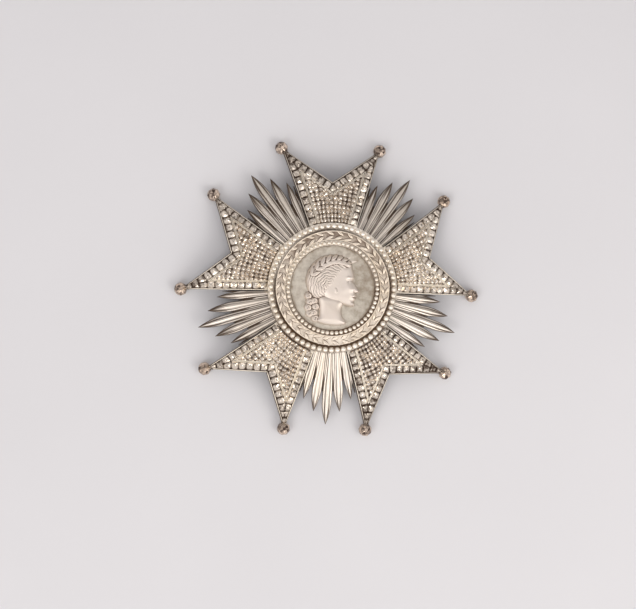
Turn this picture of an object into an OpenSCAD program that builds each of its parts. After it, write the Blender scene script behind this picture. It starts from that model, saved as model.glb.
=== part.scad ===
// Breast star: five diamond-cut double-pointed arms on a rayed plate, with a beaded centre and a pin behind.
// It lies face up on its ball finials. +Z is up, +Y runs along the top arm, and the origin is the star's
// centre on the surface that it lies on.

/* [Overall] */
// Diameter over the ball finials
star_d = 90; // [84:0.5:100]
// Height of the dome over its foot at the finials
dome_h = 10; // [8.5:0.5:12]
// Gap between pieces that lie against each other
piece_gap = 0.06; // [0.04:0.01:0.1]

/* [Ball finials] */
// Diameter of a finial
ball_d = 3.9; // [3.2:0.1:4.6]
// Sides of a finial around its upright axis
ball_sides = 8; // [8:2:14]
// Angle between an arm's middle line and each of its finials
ball_angle = 19.7; // [17:0.1:22]

/* [Arms] */
// Width of an arm where it leaves the centre
arm_root_w = 13.7; // [11:0.1:15]
// Distance of the notch between an arm's points from the star's centre
notch_r = 30.7; // [28:0.1:33]
// Thickness of an arm
arm_t = 1.5; // [1:0.1:1.8]
// How far the borders slope down to an arm's edge
border_drop = 0.9; // [0.4:0.1:1.2]
// Thickness of the collar between an arm's point and its finial
neck_d = 1.7; // [1.4:0.1:1.9]
// Width of the smooth rim around an arm
rim_w = 0.35; // [0.2:0.05:0.5]
// Height of the rim and of the raised lines
line_rise = 0.14; // [0.05:0.01:0.25]
// Width of the raised line between border and field
line_w = 0.6; // [0.2:0.05:0.8]
// Width of the row of cut cells along an arm's sides
side_border_w = 1.95; // [1.5:0.05:2.3]
// Width of the row of cut cells along an arm's notch
notch_border_w = 2.2; // [1.6:0.05:2.6]
// Length of one cell of a side border
side_cell = 2.2; // [1.8:0.1:3]
// Length of one cell of a notch border
notch_cell = 2.1; // [1.8:0.1:3]
// Height of a border cell's point
border_cell_rise = 0.45; // [0.2:0.05:0.7]
// Spacing of the field's rows of points
field_row = 1.6; // [1.2:0.05:2]
// Angle between the field's columns of points
field_column = 3.8; // [2.8:0.1:4.2]
// Height of a field point
field_rise = 0.5; // [0.2:0.05:0.8]

/* [Rays] */
// Distance of a bundle's middle ray's tip from the star's centre
ray_tip_1 = 39.8; // [37.5:0.1:42]
// Distance of the tips of the two rays beside it
ray_tip_2 = 36.1; // [34:0.1:38]
// Distance of the tips of the two outer rays
ray_tip_3 = 33; // [31:0.1:34.5]
// Width of a ray at the hub
ray_root_w = 1.35; // [1.1:0.05:1.5]
// Width of a ray at its shoulder
ray_w = 2.75; // [2.3:0.05:2.9]
// Length of a ray's pointed end
ray_point = 7; // [5:0.5:9]
// How far the rays' crests lie below the arms' fields
ray_sink = 0.9; // [0.5:0.1:1.4]
// Thickness of a ray at its edge
ray_t = 0.7; // [0.5:0.05:0.9]
// Least gap between the rays and an arm's side
ray_gap = 0.15; // [0.1:0.01:0.2]
// Width of the thin rib beside an arm
side_rib_w = 0.55; // [0.4:0.05:0.6]
// Length of the thin rib beside an arm
side_rib_l = 12.5; // [10:0.5:14]
// Thickness of the hub behind the centre
hub_t = 1.4; // [1:0.1:1.8]

/* [Centre] */
// Diameter of the medallion's disc
disc_d = 24.4; // [22:0.1:26]
// Thickness of the medallion's disc
disc_t = 0.8; // [0.6:0.05:1.1]
// Width of the inner bead ring
inner_ring_w = 1.44; // [1.2:0.02:1.7]
// Diameter of an inner bead
inner_bead_d = 1.28; // [0.9:0.02:1.3]
// Number of inner beads
inner_beads = 60; // [48:1:62]
// Width of the laurel ring
laurel_w = 2.8; // [2.2:0.1:3.2]
// Width of the raised lines along the laurel ring's edges
laurel_line_w = 0.34; // [0.2:0.02:0.5]
// Number of leaf pairs around the laurel ring
leaf_pairs = 34; // [24:1:38]
// Width of a laurel leaf
leaf_w = 1.15; // [0.8:0.05:1.3]
// Height of a leaf's midrib
leaf_rise = 0.4; // [0.25:0.05:0.6]
// Width of the dark groove inside the beaded rim
groove_w = 0.35; // [0.2:0.05:0.6]
// Width of the beaded rim
setting_rim_w = 1.95; // [1.7:0.05:2.2]
// Diameter of a bead on the rim
outer_bead_d = 1.7; // [1.2:0.05:1.7]
// Number of beads on the rim
outer_beads = 64; // [52:1:66]
// How far the rim stands over the arms' fields
setting_rise = 0.7; // [0.4:0.1:1.2]
// Thickness of the setting's floor
setting_floor_t = 0.6; // [0.5:0.05:0.8]
// Depth of the setting's recess
setting_recess = 0.5; // [0.3:0.05:0.7]
// Thickness of the arms' roots under the setting
root_t = 1.7; // [1.3:0.1:2]
// Length of the arms' roots under the setting
root_l = 7; // [5:0.5:9]

/* [Medallion] */
// Height of the head from crown to chin
head_h = 14.6; // [12:0.2:15]
// Height of the relief over the disc
relief_h = 1.9; // [1.2:0.1:2.4]
// Leaves in the head's wreath
wreath_leaves = 6; // [4:1:7]

/* [Pin] */
// Diameter of the pin wire
wire_d = 1.4; // [1:0.1:1.6]
// Clearance of the wire over the surface that the star lies on
wire_clear = 0.9; // [0.6:0.1:1.2]
// Distance between the hinge block and the catch
pin_span = 26; // [20:1:28]
// Width of the pin's base bar
bar_w = 6; // [4:0.5:8]
// Thickness of the pin's base bar
bar_t = 1; // [0.8:0.1:1.4]
// Length of the hinge block and of the catch along the pin
post_l = 4; // [3:0.5:5]

/* [Hidden] */
arm_count = 5;

silver = [0.8, 0.78, 0.74];
bright_silver = [0.9, 0.89, 0.87];
satin_silver = [0.74, 0.73, 0.71];
dark_silver = [0.55, 0.51, 0.47];

sector = 360 / arm_count;
ball_r = ball_d / 2;
ball_table_angle = 30;
ball_rest_z = ball_r * cos(ball_table_angle);
ball_ring_r = star_d / 2 - ball_r;

// Height of the dome's foot, from which the arms' points run into the middles of the finials
dome_foot = ball_rest_z + border_drop + arm_t / 3;

// Rings of the centre, from the disc outwards
disc_r = disc_d / 2;
inner_ring_in = disc_r + piece_gap;
inner_ring_out = inner_ring_in + inner_ring_w;
laurel_in = inner_ring_out + piece_gap;
laurel_out = laurel_in + laurel_w;
rim_in = laurel_out + groove_w;
setting_r = rim_in + setting_rim_w;

// Levels, from the arms' fields beside the centre downwards
setting_top = dome_z(setting_r) + setting_rise;
setting_floor = setting_top - setting_recess;
setting_bottom = setting_floor - setting_floor_t;
root_top = setting_bottom - piece_gap;
hub_top = root_top - root_t - piece_gap;
hub_bottom = hub_top - hub_t;
hub_r = setting_r - 0.5;
bar_top = hub_bottom - piece_gap;
ring_bottom = setting_floor + piece_gap;
laurel_t = disc_t * 0.9;

// Share of a face that the head's tables are written in, and the middle of the hair
third = head_h * 0.274;
hair_centre = third * [-0.5, 0.8];
lock_rise = 0.3;
relief_sink = 0.2;

// Small measures of the arms: how far they start inside the setting's edge, how thick their cut layer is,
// how deep the core lies below it, how far cells reach under the raised lines and the rim, and how many
// border cells go to one facet of a line or a rim
arm_start = -1.2;
cut_t = arm_t * 0.8;
core_sink = 0.2;
lap = 0.06;
cells_per_facet = 3;

// Sections of a ray and of a rib, each row a share of the width from the middle and a share of the height
ray_section = [[-0.5, 0], [-0.2, 0.9], [0.2, 0.9], [0.5, 0]];
rib_section = [[-0.5, 0], [0, 1], [0.5, 0]];

// Height of a ray's section as a share of its width, and how the thin ribs lie between the rays
ray_round = 0.3;
rib_sink = 0.55;
rib_lap = 0.15;
rib_point = 3;

// Height of the star's dome at a distance from its centre
function dome_z(r) = dome_foot + dome_h * (1 - pow(r / ball_ring_r, 2));
function on_dome(p, rise = 0) = [p.x, p.y, dome_z(norm(p)) + rise];
function polar(r, a) = r * [sin(a), cos(a)];
function mix(p, q, f) = p + (q - p) * f;
function unit(p) = p / norm(p);
function flip(p) = [-p.x, p.y];

// A closed solid under a grid of surface points, with a point raised over each cell when lift isn't zero.
// Seen from above, a row's points run to the right and the rows run upwards. Its underside lies depth below
// the surface, or flat at floor_z.
module sheet(grid, depth, lift = 0, floor_z = undef) {
    rows = len(grid);
    cols = len(grid[0]);
    surface_points = [for (row = grid) each row];
    peaks = lift == 0 ? [] : [for (i = [0:rows - 2]) for (j = [0:cols - 2])
        (grid[i][j] + grid[i][j + 1] + grid[i + 1][j + 1] + grid[i + 1][j]) / 4 + [0, 0, lift]];
    count = rows * cols;
    under = count + len(peaks);
    cells = [for (i = [0:rows - 2]) for (j = [0:cols - 2]) i * cols + j];
    edge = concat([for (j = [0:cols - 2]) j],
        [for (i = [0:rows - 2]) i * cols + cols - 1],
        [for (j = [cols - 1:-1:1]) (rows - 1) * cols + j],
        [for (i = [rows - 1:-1:1]) i * cols]);
    upper = [for (k = [0:len(cells) - 1]) let (a = cells[k], b = a + 1, c = b + cols, d = a + cols, p = count + k)
        each lift == 0 ? [[a, d, c], [a, c, b]] : [[a, p, b], [b, p, c], [c, p, d], [d, p, a]]];
    lower = [for (a = cells) let (b = a + 1, c = b + cols, d = a + cols)
        each [[a, b, c] + under * [1, 1, 1], [a, c, d] + under * [1, 1, 1]]];
    walls = [for (k = [0:len(edge) - 1]) let (p = edge[k], q = edge[(k + 1) % len(edge)])
        each [[p, q, q + under], [p, q + under, p + under]]];
    polyhedron(
        points = concat(surface_points, peaks,
            [for (p = surface_points) [p.x, p.y, is_undef(floor_z) ? p.z - depth : floor_z]]),
        faces = concat(upper, lower, walls), convexity = 6);
}

// Plan of an arm's right half. Its side and its notch edge both run to the centre of the finial.
tip = polar(ball_ring_r, ball_angle);
notch = [0, notch_r];
root = [arm_root_w / 2, sqrt(pow(setting_r, 2) - pow(arm_root_w / 2, 2))];
side_way = unit(tip - root);
side_in = [-side_way.y, side_way.x];
notch_way = unit(tip - notch);
notch_in = [notch_way.y, -notch_way.x];
side_line_in = rim_w + side_border_w;
notch_line_in = rim_w + notch_border_w;
side_field_in = side_line_in + line_w;
notch_field_in = notch_line_in + line_w;
cell_start = middle(rim_w - lap);
cell_start_in = cell_start + (notch_border_w + 2 * lap) * notch_in;

// The point at one distance inside the side edge and another inside the notch edge
function corner(side_d, notch_d) = let (
    a = side_in * root + side_d,
    b = notch_in * notch + notch_d,
    det = side_in.x * notch_in.y - side_in.y * notch_in.x)
    [(a * notch_in.y - b * side_in.y) / det, (b * side_in.x - a * notch_in.x) / det];
function middle(notch_d) = [0, notch_r + notch_d / notch_in.y];
function beside(along, side_d) = root + along * side_way + side_d * side_in;
function side_along(p) = (p - root) * side_way;
function notch_along(p) = (p - notch) * notch_way;

// Height of an arm's surface: the dome, less the slope of the borders
function arm_point(p, rise = 0) = let (
    q = [abs(p.x), p.y],
    side_share = 1 - (q - root) * side_in / side_field_in,
    notch_share = 1 - (q - notch) * notch_in / notch_field_in)
    on_dome(p, rise - border_drop * max(0, side_share, notch_share));

// A strip of an arm's surface between two lines, the left one from a to b and the right one from c to d
module strip(a, b, c, d, cells, depth, rise = 0, lift = 0) {
    sheet([for (i = [0:cells]) [arm_point(mix(a, b, i / cells), rise), arm_point(mix(c, d, i / cells), rise)]],
        depth, lift);
}

// A single cut cell over four corners, given from the near left one to the right and round
module cell(a, b, c, d) {
    hull() sheet([[arm_point(a), arm_point(b)], [arm_point(d), arm_point(c)]], cut_t, border_cell_rise);
}

module finial() {
    rings = [ball_table_angle, 75, 105, 180 - ball_table_angle];
    hull() for (k = [0:len(rings) - 1])
        rotate(k % 2 == 0 ? 0 : 180 / ball_sides)
            translate([0, 0, ball_r * cos(rings[k])])
                cylinder(r = ball_r * sin(rings[k]), h = 0.001, $fn = ball_sides);
}

module arm_field() {
    line_corner = corner(side_field_in - lap, notch_field_in - lap);
    foot = beside(arm_start, side_field_in - lap);
    r_in = setting_r - 0.4;
    rows = ceil((norm(line_corner) - r_in) / field_row);
    half = ceil(max(atan(line_corner.x / line_corner.y), atan(foot.x / foot.y)) / field_column);
    top = dome_z(0) + arm_t;
    intersection() {
        sheet([for (i = [0:rows]) [for (j = [-half:half])
            on_dome(polar(r_in + i * field_row, j * field_column))]], cut_t, field_rise);
        sheet([for (row = [[foot, [0, foot.y]], [line_corner, middle(notch_field_in - lap)]])
            [for (p = [flip(row[0]), row[1], row[0]]) [each p, top]]], top);
    }
}

module arm_half() {
    border_corner = corner(side_line_in, notch_line_in);
    field_corner = corner(side_field_in, notch_field_in);
    rim_corner = corner(rim_w, rim_w);
    cell_corner = corner(side_line_in + lap, notch_line_in + lap);
    side_foot = beside(side_along(cell_corner), rim_w - lap);
    notch_foot = notch + notch_along(cell_corner) * notch_way + (rim_w - lap) * notch_in;
    side_cells = round((side_along(cell_corner) - arm_start) / side_cell);
    notch_cells = round((notch_along(cell_corner) - notch_along(cell_start)) / notch_cell);
    side_facets = ceil(side_cells / cells_per_facet);
    notch_facets = ceil(notch_cells / cells_per_facet);
    point_way = unit(side_way + notch_way);

    // Side border, notch border and the large cell where they meet
    strip(beside(arm_start, side_line_in + lap), cell_corner, beside(arm_start, rim_w - lap), side_foot,
        side_cells, cut_t, 0, border_cell_rise);
    strip(cell_start, notch_foot, cell_start_in, cell_corner, notch_cells, cut_t, 0, border_cell_rise);
    cell(cell_corner - lap * point_way, side_foot - lap * side_way, corner(rim_w - lap, rim_w - lap),
        notch_foot - lap * notch_way);

    // Raised lines between the borders and the field
    strip(beside(arm_start, side_field_in), field_corner, beside(arm_start, side_line_in), border_corner,
        side_facets, cut_t, line_rise);
    strip(middle(notch_line_in), border_corner, middle(notch_field_in), field_corner,
        notch_facets, cut_t, line_rise);

    // Smooth rim
    strip(beside(arm_start, rim_w), rim_corner, beside(arm_start, 0), tip, side_facets, arm_t, line_rise);
    strip(notch, tip, middle(rim_w), rim_corner, notch_facets, arm_t, line_rise);

    // Collar and finial
    hull() for (back = [ball_r / 2, ball_r + neck_d / 3])
        translate(arm_point(tip - back * point_way, (line_rise - arm_t) / 2))
            rotate([90, 90, -atan2(point_way.x, point_way.y)]) cylinder(d = neck_d, h = 0.01, $fn = 6);
    translate([tip.x, tip.y, ball_rest_z]) rotate(-ball_angle) finial();
}

// The arm's hidden core, just below its cut surface, which also makes its hollow back
module arm_core() {
    shares = [-1, -0.65, 0, 0.65, 1];
    rows = 5;
    inset = rim_w / 3;
    sheet([for (i = [0:rows]) let (
        side = mix(beside(arm_start, inset), corner(inset, inset), i / rows),
        centre = mix([0, setting_r + arm_start], middle(inset), i / rows))
        [for (s = shares) arm_point([side.x * s, mix(centre.y, side.y, abs(s))], -core_sink)]],
        arm_t - core_sink);
}

// The root that lies between the hub and the setting
module arm_root() {
    half = atan(root.x / root.y);
    hull() for (a = [-half, 0, half])
        for (r = [setting_r - root_l, setting_r + arm_t / 2])
            translate([each polar(r, a), root_top - root_t]) cylinder(r = 0.01, h = root_t, $fn = 4);
}

module arm(index) {
    kite_side = cell_start_in + lap * notch_way;
    color(silver) rotate(-sector * (index - 1)) {
        difference() {
            union() {
                arm_field();
                arm_core();
                cell(flip(kite_side), middle(notch_line_in + lap), kite_side, cell_start + [0, lap]);
                arm_half();
                mirror([1, 0, 0]) arm_half();
            }
            cylinder(r = setting_r + piece_gap, h = dome_z(0) + arm_t, $fn = 60);
        }
        arm_root();
    }
}

// A ray along a line, from rows of a point on its middle line and its width there
module ray(stations, section, rise) {
    way = unit(stations[len(stations) - 1][0] - stations[0][0]);
    right = [way.y, -way.x];
    hull() sheet([for (s = stations) [for (c = section)
        on_dome(s[0] + c.x * s[1] * right, rise + (c.y - 1) * ray_round * s[1])]], ray_t);
}

module ray_bundle() {
    tips = [ray_tip_1, ray_tip_2, ray_tip_3];
    start_r = setting_r - 2;
    rib_start_r = hub_r - ray_gap;
    arm_side = sector / 2 - atan(root.x / root.y);
    pitch = (arm_side - asin((ray_root_w / 2 + ray_gap) / setting_r)) / 2;
    widest_at = ray_tip_2 - ray_point;
    function ray_width(r) = mix(ray_root_w, ray_w, min(1, (r - setting_r) / (widest_at - setting_r)));

    for (k = [-2:2]) {
        tip_r = tips[abs(k)];
        shoulder = tip_r - ray_point;
        wide = ray_width(shoulder);
        ray([[polar(start_r, k * pitch), ray_root_w],
            [polar(shoulder, k * pitch), wide],
            [polar(mix(shoulder, tip_r, 0.5), k * pitch), wide * 0.76],
            [polar(tip_r, k * pitch), wide * 0.06]], ray_section, -ray_sink);
    }
    // Thin ribs in the valleys between the rays, which end where the rays part
    for (k = [-1.5, -0.5, 0.5, 1.5]) {
        end_r = tips[abs(k) + 0.5] - ray_point + rib_point / 3;
        ray([for (r = [rib_start_r, end_r - rib_point, end_r]) [polar(r, k * pitch),
            r == end_r ? rib_lap : 2 * r * sin(pitch / 2) - ray_width(r) + 2 * rib_lap]],
            rib_section, -ray_sink - rib_sink);
    }
    // Thin ribs beside the arms, each parallel to the arm's side
    for (mirrored = [0, 1]) mirror([mirrored, 0, 0]) rotate(-sector / 2)
        ray([for (along = [rib_start_r - setting_r, side_rib_l - rib_point, side_rib_l])
            [flip(beside(along, -ray_gap - side_rib_w / 2)), along == side_rib_l ? rib_lap : side_rib_w]],
            rib_section, -ray_sink - rib_sink);
}

// The raised part of the hub that carries a bundle, between the roots of two arms
module hub_step() {
    inner_r = setting_r - root_l;
    outer_r = setting_r - ray_gap;
    half = sector / 2 - atan(root.x / root.y) - atan(ray_gap / inner_r);
    translate([0, 0, hub_top - hub_t / 2]) linear_extrude(root_top - hub_top + hub_t / 2)
        polygon([polar(inner_r, -half), polar(outer_r, -half), polar(outer_r, 0), polar(outer_r, half),
            polar(inner_r, half)]);
}

module ray_plate() {
    color(bright_silver) {
        translate([0, 0, hub_bottom]) cylinder(r = hub_r, h = hub_t, $fn = 40);
        for (i = [0:arm_count - 1]) rotate(-sector * (i + 0.5)) {
            hub_step();
            ray_bundle();
        }
    }
}

module ring_of_beads(bead_d, ring_r, count) {
    for (i = [0:count - 1]) rotate(i * 360 / count) translate([ring_r, 0, 0]) sphere(d = bead_d, $fn = 24);
}

// A flat ring that lies on the setting's floor
module flat_ring(inner_r, outer_r, thickness) {
    translate([0, 0, ring_bottom]) rotate_extrude($fn = 120)
        translate([inner_r, 0]) square([outer_r - inner_r, thickness]);
}

module centre_setting() {
    boss_r = setting_r - root_l - 1;
    color(silver) {
        rotate_extrude($fn = 120) polygon([[0, hub_top + piece_gap], [boss_r, hub_top + piece_gap],
            [boss_r, setting_bottom], [setting_r, setting_bottom], [setting_r, setting_top],
            [rim_in, setting_top], [rim_in, setting_floor], [0, setting_floor]]);
        translate([0, 0, setting_top])
            ring_of_beads(outer_bead_d, rim_in + setting_rim_w * 0.45, outer_beads);
    }
}

// A pointed leaf along +X from its stem, cut in four facets that rise to its middle from just over z = 0
module leaf(length, width, depth) {
    widest = 0.45 * length;
    edge_z = 0.15 * leaf_rise;
    sheet([[[0, 0, edge_z], [widest, -width / 2, edge_z]], [[widest, width / 2, edge_z], [length, 0, edge_z]]],
        depth, leaf_rise);
}

module laurel_ring() {
    top = ring_bottom + laurel_t;
    mid_r = (laurel_in + laurel_out) / 2;
    leaf_l = 2 * PI * mid_r / leaf_pairs;
    color(satin_silver) {
        flat_ring(laurel_in, laurel_out, laurel_t);
        flat_ring(laurel_in, laurel_in + laurel_line_w, laurel_t + laurel_line_w);
        flat_ring(laurel_out - laurel_line_w, laurel_out, laurel_t + laurel_line_w);
        for (i = [0:leaf_pairs - 1]) rotate(i * 360 / leaf_pairs) translate([mid_r, 0, top])
            for (side = [-1, 1]) translate([side * laurel_line_w / 2, 0, 0])
                rotate(90 - side * 24) leaf(leaf_l, leaf_w, laurel_t / 2);
    }
}

module inner_bead_ring() {
    color(silver) {
        flat_ring(inner_ring_in, inner_ring_out, disc_t);
        translate([0, 0, ring_bottom + disc_t])
            ring_of_beads(inner_bead_d, (inner_ring_in + inner_ring_out) / 2, inner_beads);
    }
}

// A rounded closed form over an outline given clockwise, from its middle point to its edge on the disc
module mound(outline, centre, height, rings = [[0.6, 0.88], [0.88, 0.56], [1, 0.1]]) {
    n = len(outline);
    last = len(rings) - 1;
    surface_points = [for (ring = rings) for (p = outline)
        [each mix(centre, p, ring[0]), height * ring[1]]];
    first = 1;
    under = first + n * len(rings);
    apex = [each centre, height];
    polyhedron(
        points = concat([apex], surface_points, [for (p = outline) [p.x, p.y, -relief_sink]],
            [[each centre, -relief_sink]]),
        faces = [for (i = [0:n - 1]) let (j = (i + 1) % n, b = first + last * n)
            each concat([[0, first + i, first + j]],
                [for (k = [0:last - 1]) let (a = first + k * n) each
                    [[a + i, a + n + i, a + n + j], [a + i, a + n + j, a + j]]],
                [[b + i, under + i, under + j], [b + i, under + j, b + j], [under + n, under + j, under + i]])],
        convexity = 6);
}

// A smooth closed line through points, with one point added between each two
function smooth(p) = let (n = len(p)) [for (i = [0:n - 1])
    each [p[i], (9 * (p[i] + p[(i + 1) % n]) - p[(i + n - 1) % n] - p[(i + 2) % n]) / 16]];

// A quadratic curve from a to c, drawn towards b
function bow(a, b, c, f) = mix(mix(a, b, f), mix(b, c, f), f);

// Height of the hair's rounded mass over the disc
function hair_z(p) = let (d = (p - hair_centre) / (1.95 * third))
    relief_h * sqrt(max(0.1, 1 - d * d)) - leaf_rise * 0.4;

// A raised lock along a curve, with its ends pointed
module lock(a, b, c, width) {
    steps = 5;
    sheet([for (i = [0:steps]) let (
        f = i / steps,
        p = bow(a, b, c, f),
        way = unit(bow(a, b, c, f + 0.02) - bow(a, b, c, f - 0.02)),
        half = width * (0.25 + sin(180 * f)) / 2.5,
        z = hair_z(p))
        [for (u = [-1, 0, 1]) [each p + u * half * [way.y, -way.x], z + (u == 0 ? lock_rise : 0)]]],
        0, 0, -relief_sink);
}

// Outline tables of the head, in thirds of a face, clockwise, each row an x and a y
face_line = [[1, 1.75], [1.32, 1.6], [1.46, 1.2], [1.54, 0.74], [1.48, 0.5], [1.7, 0.12], [1.92, -0.2],
    [1.84, -0.33], [1.64, -0.37], [1.74, -0.57], [1.64, -0.67], [1.69, -0.79], [1.56, -0.93], [1.62, -1.15],
    [1.42, -1.34], [0.95, -1.26], [0.4, -1.1], [-0.4, -0.9], [-0.9, -0.3], [-0.9, 0.9], [0, 1.9]];
hair_line = [[-0.75, 2.26], [0.12, 2.38], [0.9, 2.14], [1.34, 1.68], [1.12, 1.34], [0.78, 0.92], [0.46, 0.5],
    [0.2, 0], [-0.2, -0.35], [-0.7, -0.7], [-1.25, -0.82], [-1.72, -0.4], [-1.98, 0.4], [-1.86, 1.15],
    [-1.42, 1.82]];
neck_line = [[0.8, -0.9], [0.66, -1.5], [0.72, -2], [0.98, -2.58], [0, -2.7], [-1.1, -2.46], [-0.98, -1.9],
    [-1.02, -1.2], [-1, -0.6], [-0.1, -0.5]];

module head() {
    mound(smooth(third * face_line), third * [0.6, 0.3], relief_h * 0.85);
    mound(smooth(third * hair_line), hair_centre, relief_h);
    mound(smooth(third * neck_line), third * [-0.1, -1.5], relief_h * 0.66);
    // Locks combed back from the brow and the temple to the nape
    for (k = [0:4]) let (f = k / 4)
        lock(third * mix([1.05, 1.45], [0.3, 0.15], f), third * mix([-0.5, 2.6], [-0.5, 0.1], f),
            third * mix([-1.8, 0.3], [-1.3, -0.62], f), third * 0.5);
    // Leaves of the wreath, from the brow to the back of the head
    for (k = [0:wreath_leaves - 1]) let (
        f = (k + 0.5) / wreath_leaves,
        a = third * [-1.75, 0.85], b = third * [-0.4, 2.7], c = third * [1.25, 1.75],
        p = bow(a, b, c, f),
        way = bow(a, b, c, f + 0.02) - bow(a, b, c, f - 0.02),
        z = hair_z(p) + leaf_rise * 0.5)
        translate([each p, z]) rotate(atan2(way.y, way.x) + (k % 2 == 0 ? 20 : -20))
            leaf(third * 0.7, third * 0.3, z + relief_sink);
    // Two strings of curls behind the neck
    for (string = [[-1.3, -0.95], [-1.72, -0.6]]) for (k = [0:3])
        translate(third * (string + [k % 2 * 0.12 - 0.06, -0.42 * k]))
            mound([for (a = [0:-60:-300]) third * 0.27 * [cos(a), sin(a)]], [0, 0],
                relief_h * (0.6 - 0.06 * k), [[0.7, 0.75], [1, 0.2]]);
}

module medallion() {
    color(satin_silver) {
        translate([0, 0, ring_bottom]) cylinder(r = disc_r, h = disc_t, $fn = 64);
        translate([0, 0, ring_bottom + disc_t]) head();
    }
}

module back_pin() {
    wire_z = wire_clear + wire_d / 2;
    bar_l = pin_span + 2 * post_l;
    post_top = bar_top - bar_t / 2;
    barrel_r = wire_z - wire_clear / 3;
    color(dark_silver) {
        translate([-bar_w / 2, -bar_l / 2, bar_top - bar_t]) cube([bar_w, bar_l, bar_t]);
        // Hinge block and its barrel
        translate([-bar_w / 4, pin_span / 2, wire_z]) cube([bar_w / 2, post_l, post_top - wire_z]);
        translate([-bar_w / 2, pin_span / 2 + barrel_r, wire_z]) rotate([0, 90, 0])
            cylinder(r = barrel_r, h = bar_w, $fn = 48);
        // Catch
        translate([-bar_w / 4, -pin_span / 2 - post_l, wire_z - wire_d])
            cube([bar_w / 2, post_l, post_top - wire_z + wire_d]);
        // Wire with its pointed end
        translate([0, pin_span / 2 + barrel_r, wire_z]) rotate([90, 0, 0])
            cylinder(d = wire_d, h = pin_span + post_l + barrel_r, $fn = 48);
        translate([0, -pin_span / 2 - post_l, wire_z]) rotate([90, 0, 0])
            cylinder(d1 = wire_d, d2 = wire_d * 0.2, h = 2 * wire_d, $fn = 48);
    }
}

ray_plate();
for (i = [1:arm_count]) arm(i);
centre_setting();
laurel_ring();
inner_bead_ring();
medallion();
back_pin();
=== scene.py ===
"""Looks of the breast star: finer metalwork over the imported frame, on a pale floor in soft studio light."""

import math
import random

import bpy
import numpy as np
from mathutils import Matrix, Vector


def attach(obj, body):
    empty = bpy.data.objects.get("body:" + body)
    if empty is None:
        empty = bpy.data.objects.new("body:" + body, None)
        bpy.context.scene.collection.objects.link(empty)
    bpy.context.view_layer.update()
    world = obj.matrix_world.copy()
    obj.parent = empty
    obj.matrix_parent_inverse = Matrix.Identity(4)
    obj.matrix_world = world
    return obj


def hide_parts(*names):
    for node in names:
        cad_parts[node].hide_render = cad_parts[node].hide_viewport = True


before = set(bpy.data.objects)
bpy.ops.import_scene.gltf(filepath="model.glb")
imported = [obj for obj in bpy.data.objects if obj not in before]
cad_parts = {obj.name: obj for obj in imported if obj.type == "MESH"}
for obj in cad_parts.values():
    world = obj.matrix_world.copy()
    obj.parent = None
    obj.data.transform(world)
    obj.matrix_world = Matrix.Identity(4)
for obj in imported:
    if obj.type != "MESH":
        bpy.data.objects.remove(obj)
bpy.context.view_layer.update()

# Sizes in millimetres and angles in degrees, as in the part's source
ARM_COUNT = 5
STAR_D = 90
DOME_H = 10
GAP = 0.06
BALL_R = 1.95
BALL_SIDES = 8
BALL_ANGLE = 19.7
BALL_TABLE_ANGLE = 30
ARM_ROOT_W = 13.7
NOTCH_R = 30.7
ARM_T = 1.5
BORDER_DROP = 0.9
NECK_D = 1.7
RIM_W = 0.35
LINE_RISE = 0.14
LINE_W = 0.6
SIDE_BORDER_W = 1.95
NOTCH_BORDER_W = 2.2
SIDE_CELL = 2.2
NOTCH_CELL = 2.1
RAY_TIPS = (39.8, 36.1, 33)
RAY_ROOT_W = 1.35
RAY_W = 2.75
RAY_POINT = 7
RAY_SINK = 0.9
RAY_T = 0.7
RAY_GAP = 0.15
RAY_ROUND = 0.3
RIB_SINK = 0.55
RIB_LAP = 0.15
RIB_POINT = 3
SIDE_RIB_W = 0.55
SIDE_RIB_L = 12.5
HUB_T = 1.4
DISC_R = 12.2
DISC_T = 0.8
INNER_RING_W = 1.44
INNER_BEAD_D = 1.28
INNER_BEADS = 60
LAUREL_W = 2.8
LAUREL_LINE_W = 0.34
LEAF_PAIRS = 34
LEAF_W = 1.15
LEAF_RISE = 0.4
GROOVE_W = 0.35
SETTING_RIM_W = 1.95
OUTER_BEAD_D = 1.7
OUTER_BEADS = 64
SETTING_RISE = 0.7
SETTING_FLOOR_T = 0.6
SETTING_RECESS = 0.5
ROOT_T = 1.7
ROOT_L = 7
HEAD_H = 14.6
RELIEF_H = 1.9

# Finer facets and lines than in the part's source
CELL_RISE = 0.62
FIELD_ROW = 1.3
FIELD_COLUMN = 2.9
FIELD_RISE = 0.55
CORNER_SINK = 0.2
CORE_SINK = 0.2
WIRE_RISE = 0.3
LAP = 0.06
RING_SIDES = 120
HUB_SIDES = 40

# How far the hub stays inside the setting, and its boss inside the roots, and the rays run under it
HUB_INSET = 0.5
BOSS_INSET = 1
RAY_COVER = 2

# Each cell slips, tilts and is dirty by its own chance, up to these
CELL_SLIP = 0.14
CELL_TILT = 0.2
CELL_DIRT = 0.35

# The relief's grid, and how far its edge and its floor lie under the disc's face
RELIEF_X = (-8.6, 8.3)
RELIEF_Y = (-11.3, 10.1)
RELIEF_STEP = 0.078
RELIEF_SINK = 0.2
RELIEF_FLOOR = 0.21

# How much darker each arm and each bundle is, lighter below zero, clockwise from the top: on the arms painted
# shade, on the bundles partly patina and partly painted shade, with painted light below zero
ARM_PAINTED_SHADE = (0.13, 0.02, 0.2, 0.04, 0.06)
RAY_TARNISH_AND_SHADE = (0.02, -0.06, -0.28, 0.02, 0.04)
# An arm also grows darker by so much a millimetre beyond a distance, and the balls have their own offset
ARM_OUTER_DARKENING = 0.04
ARM_OUTER_DARKENING_R = 35
BALL_TARNISH = -0.08
# A ray grows darker towards its tip over the last share of its length
TIP_DARKENING = 1.3
TIP_SHARE = 0.45

RAY_SEED = 7
LAUREL_SEED = 5

SECTOR = 360 / ARM_COUNT
CUT_T = ARM_T * 0.8
BALL_REST_Z = BALL_R * math.cos(math.radians(BALL_TABLE_ANGLE))
BALL_RING_R = STAR_D / 2 - BALL_R
DOME_FOOT = BALL_REST_Z + BORDER_DROP + ARM_T / 3


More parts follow.
